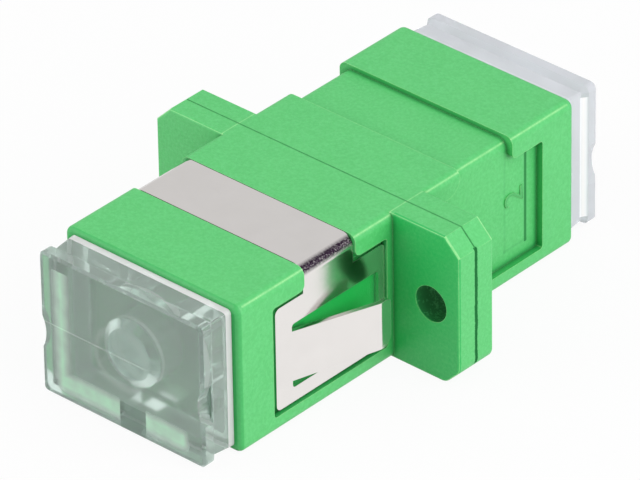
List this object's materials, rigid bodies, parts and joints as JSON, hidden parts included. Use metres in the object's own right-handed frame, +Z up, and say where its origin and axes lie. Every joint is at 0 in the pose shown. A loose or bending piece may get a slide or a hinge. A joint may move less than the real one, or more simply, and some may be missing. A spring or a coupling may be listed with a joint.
{
  "type": "sc fibre adapter",
  "caption": "Flanged adapter that joins fibre connectors end to end, with a spring clip for panel mounting and a pull-off dust plug in each socket.",
  "frame": {"origin": "on the optical axis, in the plane where the two housing halves are welded, which is also the middle of the bounding box", "axes": "+Y along the optical axis towards the rear socket, +X along the flange towards a screw hole, +Z up, away from the keyways"},
  "size_m": [0.022, 0.0324, 0.0094],
  "materials": {
    "green_plastic": "satin moulded",
    "zirconia": "ground",
    "spring_steel": "bright rolled",
    "clear_soft_plastic": "translucent moulded"
  },
  "bodies": {
    "adapter": {"housing_front": "green_plastic", "housing_rear": "green_plastic", "latch_holder_front": "green_plastic", "latch_holder_rear": "green_plastic", "alignment_sleeve": "zirconia", "panel_clip": "spring_steel"},
    "front_plug": {"dust_plug_front": "clear_soft_plastic"},
    "rear_plug": {"dust_plug_rear": "clear_soft_plastic"}
  },
  "joints": [
    {"name": "front_plug_pull", "type": "slide", "parent": "adapter", "child": "front_plug", "axis": [0, -1, 0], "range_m": [0, 0.012]},
    {"name": "rear_plug_pull", "type": "slide", "parent": "adapter", "child": "rear_plug", "axis": [0, 1, 0], "range_m": [0, 0.012]}
  ]
}
